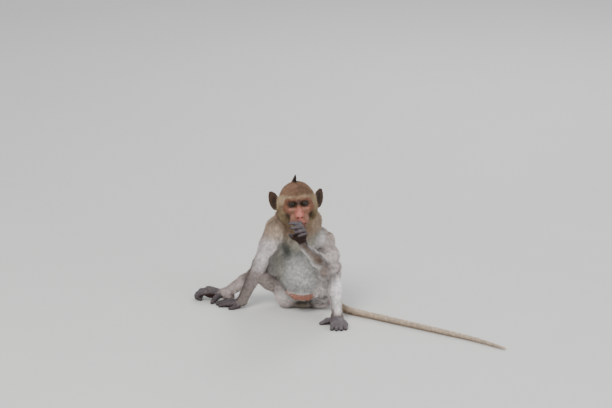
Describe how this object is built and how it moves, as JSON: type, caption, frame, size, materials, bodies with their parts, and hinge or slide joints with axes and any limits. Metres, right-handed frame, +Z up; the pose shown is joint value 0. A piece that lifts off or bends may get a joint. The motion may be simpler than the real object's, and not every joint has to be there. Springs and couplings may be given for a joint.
{
  "type": "seated long-tailed macaque figure",
  "caption": "Life-size still model of a young long-tailed macaque sitting on the ground, propped on one arm, with the other hand held to its mouth and its long tail laid out to one side.",
  "frame": {"origin": "the middle of the seat, where the rump rests on the ground, at ground level", "axes": "+Z up; the animal faces -Y; +X is its left side, the side the tail lies on"},
  "size_m": [0.6861, 0.3473, 0.3304],
  "materials": {
    "coat": "short soft fur, grey-brown with a reddish cap and a pale belly",
    "face_skin": "bare pinkish skin, matt with a faint sheen",
    "dark_skin": "bare dark purplish grey skin of the hands, feet and ears",
    "eye": "wet, glossy",
    "claw": "dark nails, satin"
  },
  "bodies": {
    "root": {"head": "coat", "neck": "coat", "chest": "coat", "abdomen": "coat", "ear_left": "dark_skin", "ear_right": "dark_skin", "eye_left": "eye", "eye_right": "eye", "upper_arm_left": "coat", "upper_arm_right": "coat", "forearm_left": "coat", "forearm_right": "coat", "hand_left": "dark_skin", "hand_right": "dark_skin", "thigh_left": "coat", "thigh_right": "coat", "shank_left": "coat", "shank_right": "coat", "foot_left": "dark_skin", "foot_right": "dark_skin", "tail_base": "coat", "tail_middle": "coat", "tail_tip": "coat"}
  },
  "joints": []
}
